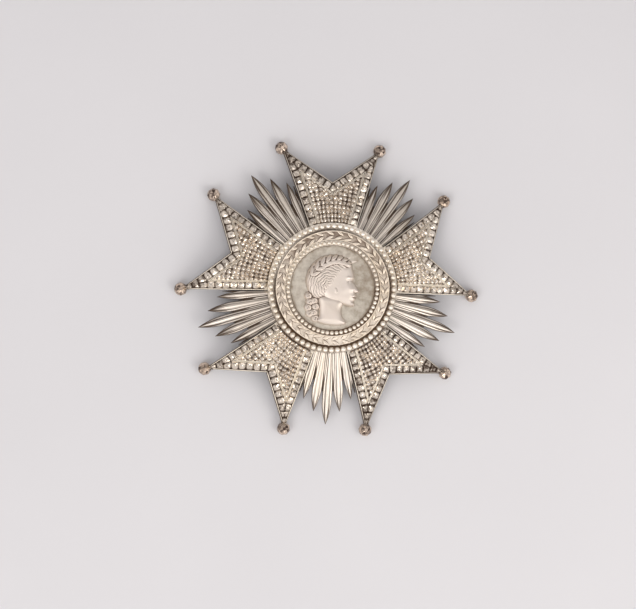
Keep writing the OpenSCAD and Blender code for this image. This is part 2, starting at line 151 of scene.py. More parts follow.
def dome_z(r):
    """Height of the star's dome at a distance from its centre."""
    return DOME_FOOT + DOME_H * (1 - (r / BALL_RING_R) ** 2)


# Rings of the centre, from the disc outwards, and levels from the arms downwards
INNER_RING_IN = DISC_R + GAP
INNER_RING_OUT = INNER_RING_IN + INNER_RING_W
LAUREL_IN = INNER_RING_OUT + GAP
LAUREL_OUT = LAUREL_IN + LAUREL_W
RIM_IN = LAUREL_OUT + GROOVE_W
SETTING_R = RIM_IN + SETTING_RIM_W
SETTING_TOP = dome_z(SETTING_R) + SETTING_RISE
SETTING_FLOOR = SETTING_TOP - SETTING_RECESS
SETTING_BOTTOM = SETTING_FLOOR - SETTING_FLOOR_T
ROOT_TOP = SETTING_BOTTOM - GAP
HUB_TOP = ROOT_TOP - ROOT_T - GAP
HUB_BOTTOM = HUB_TOP - HUB_T
HUB_R = SETTING_R - HUB_INSET
RING_BOTTOM = SETTING_FLOOR + GAP
LAUREL_T = DISC_T * 0.9
ARM_FOOT_R = SETTING_R + GAP


def polar(r, a):
    """The plan point at a distance and at an angle from +Y towards +X."""
    return Vector((r * math.sin(math.radians(a)), r * math.cos(math.radians(a))))


def mix(p, q, f):
    """What lies a share of the way from one value or point to another."""
    return p + (q - p) * f


def flip(p):
    """A point mirrored about the arm's middle line."""
    return (-p[0], *p[1:])


def turned(p, a):
    """A surface point turned clockwise about the star's axis."""
    c, s = math.cos(math.radians(a)), math.sin(math.radians(a))
    return (p[0] * c + p[1] * s, p[1] * c - p[0] * s, *p[2:])


class Shell:
    """Closed solids in one mesh. A point is x, y, z and a value, 0 on a crest and 1 in a groove, that darkens
    it: patina, and on some pieces painted shade and painted highlights as well.
    """

    def __init__(self):
        self.points = []
        self.faces = []
        self.smooth = []
        self.material = []

    def add(self, points, faces, smooth=False, material=0):
        """Points, and faces that count them from 0, with one smooth flag for all faces or one for each."""
        start = len(self.points)
        self.points.extend(tuple(p) for p in points)
        self.faces.extend([start + i for i in face] for face in faces)
        flags = smooth if isinstance(smooth, list) else [smooth] * len(faces)
        self.smooth.extend(flags)
        self.material.extend([material] * len(faces))

    def solid(self, polygons, depth=1, floor=None, smooth=False, material=0):
        """A closed solid under a surface, whose polygons run anticlockwise seen from above."""
        index, points, faces = {}, [], []
        for polygon in polygons:
            face = []
            for p in polygon:
                key = tuple(round(c, 4) for c in p[:3])
                if key not in index:
                    index[key] = len(points)
                    points.append(tuple(p))
                if index[key] not in face:
                    face.append(index[key])
            if len(face) > 2:
                faces.append(face)
        edges = {}
        for face in faces:
            for i, a in enumerate(face):
                edges[(a, face[(i + 1) % len(face)])] = True
        n = len(points)
        under = [(p[0], p[1], p[2] - depth if floor is None else floor, 1) for p in points]
        lower = [[n + i for i in reversed(face)] for face in faces]
        walls = [[b, a, n + a, n + b] for a, b in edges if (b, a) not in edges]
        flags = [smooth] * len(faces) + [False] * (len(lower) + len(walls))
        self.add(points + under, faces + lower + walls, flags, material)

    def prism(self, outline, low, high, material):
        """An upright prism over an outline given anticlockwise."""
        self.solid([[(p[0], p[1], high, 0.5) for p in outline]], floor=low, material=material)

    def lathe(self, profile, smooth=False):
        """A ring from a closed profile of radius, height and recess, given anticlockwise with +Z up."""
        n = len(profile)
        points = []
        for k in range(RING_SIDES):
            for r, z, recess in profile:
                points.append((*polar(r, 360 * k / RING_SIDES), z, recess))
        faces = []
        for k in range(RING_SIDES):
            a, b = k * n, (k + 1) % RING_SIDES * n
            for i in range(n):
                j = (i + 1) % n
                faces.append([a + i, b + i, b + j, a + j])
        self.add(points, faces, smooth)

    def bead(self, x, y, z, radius, sides):
        """A ball that darkens from its top down to its middle: patina at its foot, and a painted highlight on
        its top.
        """
        rows = sides // 2
        top = z + radius
        points = []
        for i in range(rows + 1):
            a = math.pi * i / rows
            across = radius * math.sin(a)
            level = z + radius * math.cos(a)
            recess = min(1, 1 - (level - z) / (top - z)) ** 3
            for k in range(1 if i in (0, rows) else sides):
                b = 2 * math.pi * k / sides
                points.append((x + across * math.cos(b), y + across * math.sin(b), level, recess))
        last = len(points) - 1
        faces = []
        for k in range(sides):
            j = (k + 1) % sides
            faces.append([0, 1 + k, 1 + j])
            for i in range(rows - 2):
                a = 1 + i * sides
                faces.append([a + k, a + sides + k, a + sides + j, a + j])
            faces.append([last - sides + k, last, last - sides + j])
        self.add(points, faces, True)

    def beads(self, count, ring_r, z, radius, sides):
        """A ring of balls about the star's axis."""
        for k in range(count):
            self.bead(*polar(ring_r, 360 * k / count), z, radius, sides)

    def darken_towards(self, angle, reach, amount, focus=1):
        """Darkening, or lightening below zero, towards an angle, which comes to its amount at a reach from
        the axis.
        """
        way = polar(1 / reach, angle)
        soiled = []
        for p in self.points:
            share = max(0, way.x * p[0] + way.y * p[1]) ** focus
            soiled.append((*p[:3], p[3] + amount * share))
        self.points = soiled

    def object(self, name, materials, slot, *nodes):
        """The mesh as a piece that rides on the root body and stands for CAD nodes."""
        mesh = bpy.data.meshes.new(name)
        mesh.from_pydata([(p[0] / 1000, p[1] / 1000, p[2] / 1000) for p in self.points], [], self.faces)
        recess = mesh.attributes.new("recess", "FLOAT", "POINT")
        recess.data.foreach_set("value", [p[3] for p in self.points])
        chance = random.Random(name)
        shade = mesh.attributes.new("shade", "FLOAT", "FACE")
        shade.data.foreach_set("value", [chance.random() for face in self.faces])
        mesh.polygons.foreach_set("use_smooth", self.smooth)
        mesh.polygons.foreach_set("material_index", self.material)
        for material in materials:
            mesh.materials.append(material)
        mesh.validate()
        mesh.update()
        piece = bpy.data.objects.new(name, mesh)
        bpy.context.scene.collection.objects.link(piece)
        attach(piece, "root")
        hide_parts(*nodes)


def clip(polygon, way, least):
    """The part of a polygon that lies at least so far along a plan direction."""
    kept = []
    for i, p in enumerate(polygon):
        q = polygon[(i + 1) % len(polygon)]
        dp = way[0] * p[0] + way[1] * p[1] - least
        dq = way[0] * q[0] + way[1] * q[1] - least
        if dp >= -1e-7:
            kept.append(p)
        if (dp > 1e-7 and dq < -1e-7) or (dp < -1e-7 and dq > 1e-7):
            f = dp / (dp - dq)
            kept.append(tuple(a + (b - a) * f for a, b in zip(p, q)))
    return kept


# Plan of an arm's right half, as in the part's source
TIP = polar(BALL_RING_R, BALL_ANGLE)
NOTCH = Vector((0, NOTCH_R))
ROOT = Vector((ARM_ROOT_W / 2, math.sqrt(SETTING_R**2 - (ARM_ROOT_W / 2) ** 2)))
SIDE_WAY = (TIP - ROOT).normalized()
SIDE_IN = Vector((-SIDE_WAY.y, SIDE_WAY.x))
NOTCH_WAY = (TIP - NOTCH).normalized()
NOTCH_IN = Vector((NOTCH_WAY.y, -NOTCH_WAY.x))
SIDE_LINE_IN = RIM_W + SIDE_BORDER_W
NOTCH_LINE_IN = RIM_W + NOTCH_BORDER_W
SIDE_FIELD_IN = SIDE_LINE_IN + LINE_W
NOTCH_FIELD_IN = NOTCH_LINE_IN + LINE_W


def corner(side_d, notch_d):
    """The point at one distance inside the side edge and another inside the notch edge."""
    a = SIDE_IN.dot(ROOT) + side_d
    b = NOTCH_IN.dot(NOTCH) + notch_d
    det = SIDE_IN.x * NOTCH_IN.y - SIDE_IN.y * NOTCH_IN.x
    return Vector(((a * NOTCH_IN.y - b * SIDE_IN.y) / det, (b * SIDE_IN.x - a * NOTCH_IN.x) / det))


def middle(notch_d):
    """The point of the arm's middle line at a distance inside the notch edge."""
    return Vector((0, NOTCH_R + notch_d / NOTCH_IN.y))


def beside(along, side_d):
    """The point so far along the side edge and so far inside it."""
    return ROOT + along * SIDE_WAY + side_d * SIDE_IN


def foot(side_d):
    """Where the line at a distance inside the side edge meets the setting's edge."""
    p = ROOT + side_d * SIDE_IN
    b = p.dot(SIDE_WAY)
    return p + (-b + math.sqrt(b * b - p.dot(p) + ARM_FOOT_R**2)) * SIDE_WAY


# Where the cells along the notch start on the middle line, and their inner corner beside it
CELL_START = middle(RIM_W - LAP)
CELL_START_IN = CELL_START + (NOTCH_BORDER_W + 2 * LAP) * NOTCH_IN


def arm_point(p, rise=0.0, recess=0.0):
    """A point of an arm's surface: the dome, less the slope of the borders."""
    q = Vector((abs(p[0]), p[1]))
    side_share = 1 - (q - ROOT).dot(SIDE_IN) / SIDE_FIELD_IN
    notch_share = 1 - (q - NOTCH).dot(NOTCH_IN) / NOTCH_FIELD_IN
    drop = BORDER_DROP * max(0, side_share, notch_share)
    return (p[0], p[1], dome_z(q.length) + rise - drop, recess)


# Rings of a cut cell from its foot to its table: share of its width, share of its rise, recess
BORDER_RINGS = [(1, 0, 0.6), (0.74, 0.6, 0.2), (0.26, 1.08, 0)]
FIELD_RINGS = [(1, 0, 0.48), (0.62, 0.72, 0.12), (0.14, 1.1, 0)]


def cut_cell(corners, lift, rings, chance, cut=0.2):
    """A cut cell's facets over its corners, given anticlockwise: sunk corners, sides and a tilted table."""
    foot_ring = []
    for i, a in enumerate(corners):
        b = corners[(i + 1) % len(corners)]
        foot_ring += [[a[k] + (b[k] - a[k]) * f for k in range(4)] for f in (cut, 1 - cut)]
    n = len(foot_ring)
    mean = [sum(p[k] for p in foot_ring) / n for k in range(3)]
    reach = max(math.dist(p[:2], mean[:2]) for p in foot_ring)
    slip = [chance.uniform(-CELL_SLIP, CELL_SLIP) * reach for k in range(2)]
    tilt = [chance.uniform(-CELL_TILT, CELL_TILT) for k in range(2)]
    dirt = chance.uniform(0, CELL_DIRT)
    levels = []
    for share, height, recess in rings:
        level = []
        for p in foot_ring:
            off = [(p[k] - mean[k]) * share for k in range(3)]
            rise = height * (lift + tilt[0] * off[0] + tilt[1] * off[1])
            rise *= chance.uniform(0.86, 1.14) if height else 1
            level.append((mean[0] + off[0] + slip[0] * (1 - share), mean[1] + off[1] + slip[1] * (1 - share),
                          mean[2] + off[2] + rise, recess * p[3] + dirt * height))
        levels.append(level)
    facets = [levels[-1]]
    for i, p in enumerate(corners):
        sunk = (p[0], p[1], p[2] - CORNER_SINK, p[3])
        facets.append([sunk, levels[0][2 * i], levels[0][2 * i - 1]])
    for lower, upper in zip(levels, levels[1:]):
        for k in range(n):
            j = (k + 1) % n
            facets.append([lower[k], lower[j], upper[j], upper[k]])
    return facets


def cut_strip(a, b, c, d, cells, left, right, chance):
    """A row of cut cells between two lines, from a to b and from c to d, with the recess along each."""
    facets = []
    for i in range(cells):
        f, g = i / cells, (i + 1) / cells
        corners = [arm_point(mix(a, b, f), 0, left), arm_point(mix(c, d, f), 0, right),
                   arm_point(mix(c, d, g), 0, right), arm_point(mix(a, b, g), 0, left)]
        facets += cut_cell(corners, CELL_RISE, BORDER_RINGS, chance)
    return facets


def smooth_strip(a, b, c, d, section, steps):
    """A moulded strip between two lines, from a to b and from c to d."""
    rows = []
    for i in range(steps + 1):
        left, right = mix(a, b, i / steps), mix(c, d, i / steps)
        rows.append([arm_point(mix(left, right, u), rise, recess) for u, rise, recess in section])
    return grid(rows)


def grid(rows):
    """Faces of a grid of points whose rows run to the right and follow each other upwards."""
    return [[rows[i][j], rows[i][j + 1], rows[i + 1][j + 1], rows[i + 1][j]]
            for i in range(len(rows) - 1) for j in range(len(rows[0]) - 1)]


# Sections of the raised lines and of the rim: share across, rise, recess
LINE_SECTION = [(0, 0, 1.2), (0.08, WIRE_RISE * 0.8, 0.2), (0.24, WIRE_RISE, 0),
                (0.4, WIRE_RISE * 0.8, 0.3), (0.5, 0.08, 1.6), (0.6, WIRE_RISE * 0.8, 0.3),
                (0.76, WIRE_RISE, 0), (0.92, WIRE_RISE * 0.8, 0.2), (1, 0, 1.2)]
RIM_SECTION = [(0, LINE_RISE * 0.4, 1.2), (0.3, LINE_RISE, 0.4), (0.7, LINE_RISE, 0.4), (1, 0, 1.2)]
RIM_SECTION_BACK = [(1 - u, rise, recess) for u, rise, recess in reversed(RIM_SECTION)]

# An arm's materials by number
CUT, LINE, BALL, BORDER = range(4)


def arm_field(chance):
    """The field's facets in the right half, cut to the raised lines."""
    far = corner(SIDE_FIELD_IN - LAP, NOTCH_FIELD_IN - LAP)
    rows = math.ceil((far.length - ARM_FOOT_R) / FIELD_ROW)
    near = foot(SIDE_FIELD_IN - LAP)
    half = math.degrees(max(math.atan(far.x / far.y), math.atan(near.x / near.y)))
    columns = math.ceil(half / FIELD_COLUMN)
    knots = {}
    for i in range(rows + 1):
        for j in range(columns + 1):
            r = ARM_FOOT_R + i * FIELD_ROW + (chance.uniform(-0.12, 0.12) if i else 0)
            a = j * FIELD_COLUMN + (chance.uniform(-0.3, 0.3) if j else 0)
            knots[i, j] = (*polar(r, a), dome_z(r), chance.uniform(0.55, 1.5))
    facets = []
    for i in range(rows):
        for j in range(columns):
            corners = [knots[i, j], knots[i, j + 1], knots[i + 1, j + 1], knots[i + 1, j]]
            for facet in cut_cell(corners, FIELD_RISE, FIELD_RINGS, chance, 0.27):
                facet = clip(facet, SIDE_IN, SIDE_IN.dot(ROOT) + SIDE_FIELD_IN - LAP)
                facet = clip(facet, NOTCH_IN, NOTCH_IN.dot(NOTCH) + NOTCH_FIELD_IN - LAP)
                if len(facet) > 2:
                    facets.append(facet)
    return facets


def arm_half(chance):
    """The right half's surfaces, each as facets, depth, smooth or not, and material."""
    far = corner(SIDE_LINE_IN + LAP, NOTCH_LINE_IN + LAP)
    side_foot = beside((far - ROOT).dot(SIDE_WAY), RIM_W - LAP)
    notch_foot = NOTCH + (far - NOTCH).dot(NOTCH_WAY) * NOTCH_WAY + (RIM_W - LAP) * NOTCH_IN
    side_cells = round(((far - ROOT).dot(SIDE_WAY)) / SIDE_CELL)
    notch_cells = round((far - CELL_START).dot(NOTCH_WAY) / NOTCH_CELL)
    last = corner(RIM_W - LAP, RIM_W - LAP)
    line_corner = corner(SIDE_LINE_IN, NOTCH_LINE_IN)
    field_corner = corner(SIDE_FIELD_IN, NOTCH_FIELD_IN)
    rim_corner = corner(RIM_W, RIM_W)
    # Four cells fill the point: two side by side, one across and the last one
    side_1, side_2 = mix(side_foot, last, 0.3), mix(side_foot, last, 0.62)
    notch_1, notch_2 = mix(notch_foot, last, 0.3), mix(notch_foot, last, 0.62)
    axis_1 = mix(side_1, notch_1, 0.5)
    point = []
    for outline in ((far, side_foot, side_1, axis_1), (far, axis_1, notch_1, notch_foot),
                    (axis_1, side_1, side_2, notch_2, notch_1), (side_2, last, notch_2)):
        point += cut_cell([arm_point(p, 0, 1.2) for p in outline], CELL_RISE * 0.9, BORDER_RINGS, chance)
    return [
        (arm_field(chance), CUT_T, False, CUT),
        (cut_strip(foot(SIDE_LINE_IN + LAP), far, foot(RIM_W - LAP), side_foot, side_cells, 0.8, 1.5, chance),
         CUT_T, False, BORDER),
        (cut_strip(CELL_START, notch_foot, CELL_START_IN, far, notch_cells, 1.8, 0.8, chance),
         CUT_T, False, BORDER),
        (point, CUT_T, False, BORDER),
        (smooth_strip(foot(SIDE_FIELD_IN), field_corner, foot(SIDE_LINE_IN), line_corner, LINE_SECTION, 24),
         CUT_T, True, LINE),
        (smooth_strip(middle(NOTCH_LINE_IN), line_corner, middle(NOTCH_FIELD_IN), field_corner,
                      LINE_SECTION, 16), CUT_T, True, LINE),
        (smooth_strip(foot(RIM_W), rim_corner, foot(0), TIP, RIM_SECTION_BACK, 24), ARM_T, True, LINE),
        (smooth_strip(NOTCH, TIP, middle(RIM_W), rim_corner, RIM_SECTION, 20), ARM_T, True, LINE),
    ]


def finial(shell, centre, turn, recess):
    """A ball cut in facets, which rests on its lowest facet."""
    # Angles of its rings of corners, counted from its top
    angles = (15, 48, 78, 105, 180 - BALL_TABLE_ANGLE)
    points = []
    for k, a in enumerate(angles):
        across = BALL_R * math.sin(math.radians(a))
        z = BALL_REST_Z + BALL_R * math.cos(math.radians(a))
        for i in range(BALL_SIDES):
            x, y = polar(across, turn + (i + (k % 2) / 2) * 360 / BALL_SIDES)
            points.append((centre[0] + x, centre[1] + y, z, recess))
    n = BALL_SIDES
    faces = [list(reversed(range(n))), [len(points) - n + i for i in range(n)]]
    for k in range(len(angles) - 1):
        a = k * n
        for i in range(n):
            j = (i + 1) % n
            if k % 2 == 0:
                faces += [[a + i, a + j, a + n + i], [a + j, a + n + j, a + n + i]]
            else:
                faces += [[a + i, a + j, a + n + j], [a + i, a + n + j, a + n + i]]
    shell.add(points, faces, False, BALL)


def collar(shell, side):
    """The short neck between an arm's point and its ball, with a raised ring."""
    way = (SIDE_WAY + NOTCH_WAY).normalized()
    start = arm_point(TIP - (BALL_R + NECK_D / 3) * way, (LINE_RISE - ARM_T) / 2)
    end = arm_point(TIP - (BALL_R / 2) * way, (LINE_RISE - ARM_T) / 2)
    a, b = Vector(start[:3]), Vector(end[:3])
    along = b - a
    across = Vector((way.y, -way.x, 0))
    up = across.cross(along).normalized()
    sides = 12
    # Share of the length, share of the thickness, recess
    stations = [(0, 0.8, 1.2), (0.15, 1, 0.9), (0.3, 1, 0.6), (0.42, 0.8, 1.4), (1, 0.8, 1.4)]
    points = []
    for f, size, recess in stations:
        for k in range(sides):
            c = 2 * math.pi * k / sides
            p = a + along * f + (across * math.cos(c) + up * math.sin(c)) * size * NECK_D / 2
            points.append((p.x * side, p.y, p.z, recess))
    faces = [list(reversed(range(sides))), [sides * (len(stations) - 1) + k for k in range(sides)]]
    for i in range(len(stations) - 1):
        for k in range(sides):
            j = (k + 1) % sides
            faces.append([i * sides + k, i * sides + j, (i + 1) * sides + j, (i + 1) * sides + k])
    if side < 0:
        faces = [list(reversed(face)) for face in faces]
    shell.add(points, faces, True, LINE)


def arm(index, materials):
    """An arm with its two balls. The first is the top one, and the others follow clockwise."""
    shell = Shell()
    chance = random.Random(index)
    # Painted shade that darkens this whole arm
    arm_painted_shade = ARM_PAINTED_SHADE[index - 1]
    for side in (1, -1):
        for facets, depth, smooth, material in arm_half(chance):
            if side < 0:
                facets = [[flip(p) for p in reversed(facet)] for facet in facets]
            shell.solid(facets, depth, smooth=smooth, material=material)
        collar(shell, side)
        # The balls take back the arm's painted shade, so they are alike on all arms
        finial(shell, (TIP.x * side, TIP.y), BALL_ANGLE * side, BALL_TARNISH - arm_painted_shade)
    # Cell in the notch, between the two halves
    kite = [CELL_START, CELL_START_IN, middle(NOTCH_LINE_IN + LAP), flip(CELL_START_IN)]
    cell = cut_cell([arm_point(p, 0, 1) for p in kite], CELL_RISE, BORDER_RINGS, chance)
    shell.solid(cell, CUT_T, material=BORDER)
    # Hidden core with the hollow back
    edge_in = RIM_W / 3
    shares = [k / 6 - 1 for k in range(13)]
    rows = []
    for i in range(13):
        edge = mix(foot(edge_in), corner(edge_in, edge_in), i / 12)
        centre = mix(Vector((0, ARM_FOOT_R)), middle(edge_in), i / 12)
        rows.append([arm_point((edge.x * s, mix(centre.y, edge.y, abs(s))), -CORE_SINK, 1) for s in shares])
    shell.solid(grid(rows), ARM_T - CORE_SINK, material=LINE)
    # Root between the hub and the setting
    half = math.degrees(math.atan(ROOT.x / ROOT.y))
    outline = [polar(SETTING_R + ARM_T / 2, half * s) for s in shares]
    outline += [polar(SETTING_R - ROOT_L, half * s) for s in reversed(shares)]
    shell.prism(outline, ROOT_TOP - ROOT_T, ROOT_TOP, LINE)
    # Every point takes the arm's painted shade, and grows darker beyond a distance from the axis
    placed = []
    for p in shell.points:
        outer_darkening = ARM_OUTER_DARKENING * max(0, math.hypot(p[0], p[1]) - ARM_OUTER_DARKENING_R)
        placed.append(turned((*p[:3], p[3] + arm_painted_shade + outer_darkening), SECTOR * (index - 1)))
    shell.points = placed
    shell.object(f"arm_{index}_cut", materials, "silver", f"arm_{index}")


def on_dome(p, rise, recess):
    """A surface point so far above the star's dome."""
    return (p[0], p[1], dome_z(math.hypot(p[0], p[1])) + rise, recess)


# Half of a ray's section from its crest to its edge: share of the width, share of the height, recess
HALF_SECTION = [(0, 0.92, 0), (0.07, 0.86, 0), (0.14, 0.72, 0.1), (0.2, 0.54, 0.4),
                (0.25, 0.38, 0.95), (0.3, 0.33, 0.9), (0.35, 0.32, 0.3), (0.41, 0.24, 0.25),
                (0.46, 0.12, 0.7), (0.5, 0, 1.2)]
ROUND_SECTION = [(-u, rise, recess) for u, rise, recess in reversed(HALF_SECTION[1:])] + HALF_SECTION
RIB_SECTION = [(-0.5, 0, 1), (-0.2, 0.75, 0.4), (0, 1, 0), (0.2, 0.75, 0.4), (0.5, 0, 1)]


def ray(shell, stations, section, rise, chance):
    """A ray with random lengthwise lines of dirt and of painted reflection, from stations of a point on its
    middle line and its width there.
    """
    way = (stations[-1][0] - stations[0][0]).normalized()
    right = Vector((way.y, -way.x))
    # Random lengthwise lines along the ray: dirt, and painted reflection
    dirt_and_reflection_streaks = [chance.choice((-0.2, 0.0, 0.25, 0.6)) for u in section]
    rows = []
    for i, (p, width) in enumerate(stations):
        dirt_and_reflection_streaks = [s * 0.96 + chance.uniform(-0.12, 0.12) for s in dirt_and_reflection_streaks]
        # Darker towards the tip
        tip = TIP_DARKENING * max(0, i / (len(stations) - 1) - (1 - TIP_SHARE)) / TIP_SHARE
        rows.append([on_dome(p + u * width * right, rise + (c - 1) * RAY_ROUND * width, recess + s + tip)
                     for (u, c, recess), s in zip(section, dirt_and_reflection_streaks)])
    shell.solid(grid(rows), RAY_T, smooth=True)


def ray_plate(materials):
    """The plate behind the arms: its hub, and five bundles of rays with ribs between and beside them."""
    shell = Shell()
    outline = [polar(HUB_R, -360 / HUB_SIDES * k) for k in range(HUB_SIDES)]
    shell.prism(outline, HUB_BOTTOM, HUB_TOP, 1)
    start_r = SETTING_R - RAY_COVER
    rib_start_r = HUB_R - RAY_GAP
    arm_side = SECTOR / 2 - math.degrees(math.atan(ROOT.x / ROOT.y))
    pitch = (arm_side - math.degrees(math.asin((RAY_ROOT_W / 2 + RAY_GAP) / SETTING_R))) / 2
    widest_at = RAY_TIPS[1] - RAY_POINT

    def ray_width(r):
        """Width of a ray at a distance from the axis, before its point."""
        return mix(RAY_ROOT_W, RAY_W, min(1, (r - SETTING_R) / (widest_at - SETTING_R)))

    bundle = Shell()
    chance = random.Random(RAY_SEED)
    # Step of the hub that carries the bundle
    inner_r = SETTING_R - ROOT_L
    half = arm_side - math.degrees(math.atan(RAY_GAP / inner_r))
    angles = [half * (k / 4 - 1) for k in range(9)]
    outline = [polar(inner_r, a) for a in angles] + [polar(SETTING_R - RAY_GAP, a) for a in reversed(angles)]
    bundle.prism(list(reversed(outline)), HUB_TOP - HUB_T / 2, ROOT_TOP, 1)
    # Five rays, each with a point
    for k in range(-2, 3):
        tip_r = RAY_TIPS[abs(k)]
        shoulder = tip_r - RAY_POINT
        stations = []
        for i in range(10):
            r = mix(start_r, shoulder, i / 10)
            stations.append((polar(r, k * pitch), ray_width(r)))
        stations[0] = (stations[0][0], RAY_ROOT_W)
        stations[1] = (stations[1][0], max(RAY_ROOT_W, stations[1][1]))
        for s in (0, 0.15, 0.3, 0.45, 0.6, 0.72, 0.82, 0.9, 0.96, 1):
            width = ray_width(shoulder) * max(0.02, 1 - s * s)
            stations.append((polar(mix(shoulder, tip_r, s), k * pitch), width))
        ray(bundle, stations, ROUND_SECTION, -RAY_SINK, chance)
    # Ribs between the rays
    for k in (-1.5, -0.5, 0.5, 1.5):
        end_r = RAY_TIPS[int(abs(k) + 0.5)] - RAY_POINT + RIB_POINT / 3
        stations = []
        for i in range(9):
            r = mix(rib_start_r, end_r - RIB_POINT, i / 8)
            apart = 2 * r * math.sin(math.radians(pitch / 2))
            stations.append((polar(r, k * pitch), apart - ray_width(r) + 2 * RIB_LAP))
        stations.append((polar(end_r, k * pitch), RIB_LAP))
        ray(bundle, stations, RIB_SECTION, -RAY_SINK - RIB_SINK, chance)
    # Ribs between the rays and the arms
    for side in (1, -1):
        stations = []
        for i in range(7):
            along = mix(rib_start_r - SETTING_R, SIDE_RIB_L - RIB_POINT, i / 6)
            stations.append([beside(along, -RAY_GAP - SIDE_RIB_W / 2), SIDE_RIB_W])
        stations.append([beside(SIDE_RIB_L, -RAY_GAP - SIDE_RIB_W / 2), RIB_LAP])
        for station in stations:
            x, y = turned((-station[0].x, station[0].y), SECTOR / 2)
            station[0] = Vector((x * side, y))
        ray(bundle, stations, RIB_SECTION, -RAY_SINK - RIB_SINK, chance)
    # The bundle again in each gap between two arms
    # Each bundle is darkened by its own amount, partly patina and partly painted shade, and lightened below
    # zero as painted light
    for i in range(ARM_COUNT):
        points = [turned((*p[:3], p[3] + RAY_TARNISH_AND_SHADE[i]), SECTOR * (i + 0.5)) for p in bundle.points]
        start = len(shell.points)
        shell.points += points
        shell.faces += [[start + k for k in face] for face in bundle.faces]
        shell.smooth += bundle.smooth
        shell.material += bundle.material
    shell.object("ray_plate_fine", materials, "bright_silver", "ray_plate")


def setting(materials):
    """The dish that holds the centre, with the outer ring of beads on its rim."""
    shell = Shell()
    boss_r = SETTING_R - ROOT_L - BOSS_INSET
    shell.lathe([(boss_r, HUB_TOP + GAP, 1), (boss_r, SETTING_BOTTOM, 1), (SETTING_R, SETTING_BOTTOM, 1),
                 (SETTING_R, SETTING_TOP - 0.4, 0.9), (SETTING_R - 0.1, SETTING_TOP - 0.05, 0.68),
                 (RIM_IN + 0.08, SETTING_TOP, 1), (RIM_IN, SETTING_TOP - 0.08, 0.9),
                 (RIM_IN, SETTING_FLOOR, 1), (0.01, SETTING_FLOOR, 1), (0.01, HUB_TOP + GAP, 1)])
    shell.beads(OUTER_BEADS, RIM_IN + SETTING_RIM_W * 0.5, SETTING_TOP, OUTER_BEAD_D / 2, 16)
    # Painted highlights towards the upper left and the upper right, and painted shade towards the lower right
    # and the lower left
    for angle, amount, focus in ((298, -0.75, 6), (50, -0.4, 4), (120, 0.25, 3), (210, 0.25, 2)):
        shell.darken_towards(angle, SETTING_R, amount, focus)
    shell.object("centre_setting_fine", materials, "silver", "centre_setting")


def flat_profile(inner_r, outer_r, top, recess, edge=0.05):
    """The profile of a flat ring with its upper edges broken."""
    return [(inner_r, RING_BOTTOM, 1), (outer_r, RING_BOTTOM, 1), (outer_r, top - edge, 0.8),
            (outer_r - edge, top, recess), (inner_r + edge, top, recess), (inner_r, top - edge, 0.8)]


def bead_ring(materials):
    """The ring of smaller beads around the disc."""
    shell = Shell()
    top = RING_BOTTOM + DISC_T
    shell.lathe(flat_profile(INNER_RING_IN, INNER_RING_OUT, top, 0.8))
    shell.beads(INNER_BEADS, (INNER_RING_IN + INNER_RING_OUT) / 2, top, INNER_BEAD_D / 2, 12)
    # A painted highlight towards the upper left, and painted shade towards the lower right and the lower left
    for angle, amount, focus in ((315, -0.4, 3), (130, 0.35, 2), (220, 0.2, 1)):
        shell.darken_towards(angle, INNER_RING_OUT, amount, focus)
    shell.object("inner_bead_ring_fine", materials, "silver", "inner_bead_ring")


def leaf(length, width, side, chance):
    """A leaf's surface along +Y from its stem, with a sunk midrib."""
    rows = []
    turn = math.radians(side * 24 + chance.uniform(-2, 2))
    for i in range(9):
        u = i / 8
        half = width / 2 * max(0.03, math.sin(math.pi * u**0.8))
        row = []
        for v in (-1, -0.55, -0.12, 0, 0.12, 0.55, 1):
            rise = LEAF_RISE * (1 - abs(v) ** 2.2) * max(0.06, math.sin(math.pi * (0.08 + 0.84 * u)))
            if v == 0:
                rise *= 0.72
            x, y = v * half, u * length
            recess = 1.2 if v == 0 else 1.7 * abs(v) ** 3
            row.append((side * 0.17 + x * math.cos(turn) + y * math.sin(turn),
                        y * math.cos(turn) - x * math.sin(turn), 0.03 + rise, recess))
        rows.append(row)
    return grid(rows)


def laurel(materials):
    """The laurel border between its two raised lines."""
    shell = Shell()
    chance = random.Random(LAUREL_SEED)
    top = RING_BOTTOM + LAUREL_T
    shell.lathe(flat_profile(LAUREL_IN, LAUREL_OUT, top, 0.86))
    line = LAUREL_LINE_W
    shell.lathe(flat_profile(LAUREL_IN, LAUREL_IN + line, top + line, 0, 0.1), True)
    shell.lathe(flat_profile(LAUREL_OUT - line, LAUREL_OUT, top + line, 0, 0.1), True)
    mid_r = (LAUREL_IN + LAUREL_OUT) / 2
    leaf_l = 2 * math.pi * mid_r / LEAF_PAIRS
    for k in range(LEAF_PAIRS):
        for side in (-1, 1):
            facets = []
            for facet in leaf(leaf_l, LEAF_W, side, chance):
                placed = []
                for p in facet:
                    x, y = turned(p[:2], -90)
                    placed.append(turned((x, y + mid_r, p[2] + top, p[3]), 360 * k / LEAF_PAIRS))
                facets.append(placed)
            shell.solid(facets, floor=top - LAUREL_T / 2, smooth=True)
    # Painted shade towards the top, and a painted highlight towards the bottom
    shell.darken_towards(0, LAUREL_OUT, 0.3)
    shell.darken_towards(165, LAUREL_OUT, -0.25)
    shell.object("laurel_ring_fine", materials, "satin_silver", "laurel_ring")


THIRD = HEAD_H * 0.274

